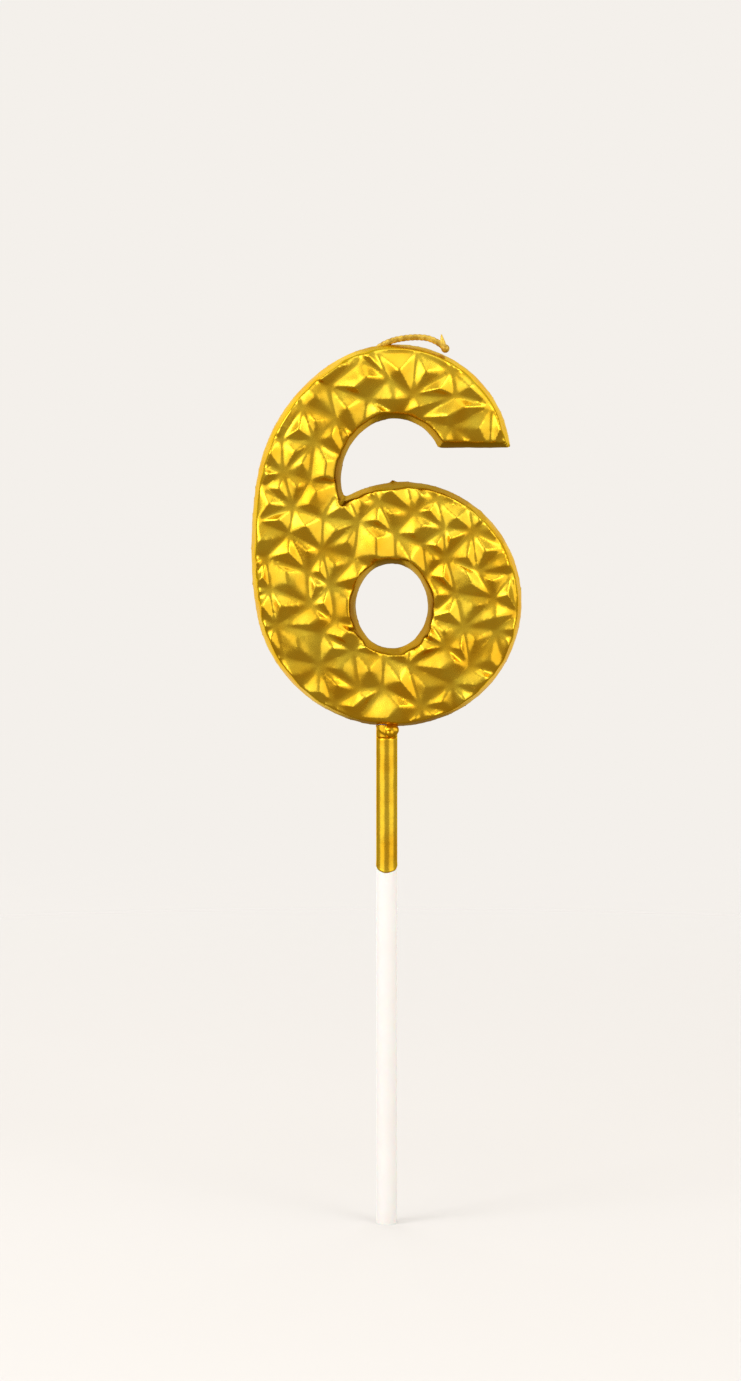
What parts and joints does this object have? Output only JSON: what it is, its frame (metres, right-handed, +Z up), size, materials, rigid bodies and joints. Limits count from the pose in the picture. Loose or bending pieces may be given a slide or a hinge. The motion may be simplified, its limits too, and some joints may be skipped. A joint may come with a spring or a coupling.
{
  "type": "number birthday candle",
  "caption": "Moulded number candle in the shape of a six with faceted gold lacquered faces, a curled wick at the crown and a round white plastic pick that holds it upright in a cake.",
  "frame": {"origin": "centre of the pick's flat lower end", "axes": "+Z up along the pick, +X to the right across the numeral as it's read, and the front of the numeral faces -Y"},
  "size_m": [0.0515, 0.014, 0.1704],
  "materials": {
    "wax": "matte",
    "gold_lacquer": "metallic gloss",
    "waxed_cotton": "lacquered",
    "white_plastic": "satin"
  },
  "bodies": {
    "root": {"wax_body": "wax", "gold_skin": "gold_lacquer", "wick": "waxed_cotton", "pick": "white_plastic", "pick_gold_film": "gold_lacquer", "neck_bead": "gold_lacquer"}
  },
  "joints": []
}
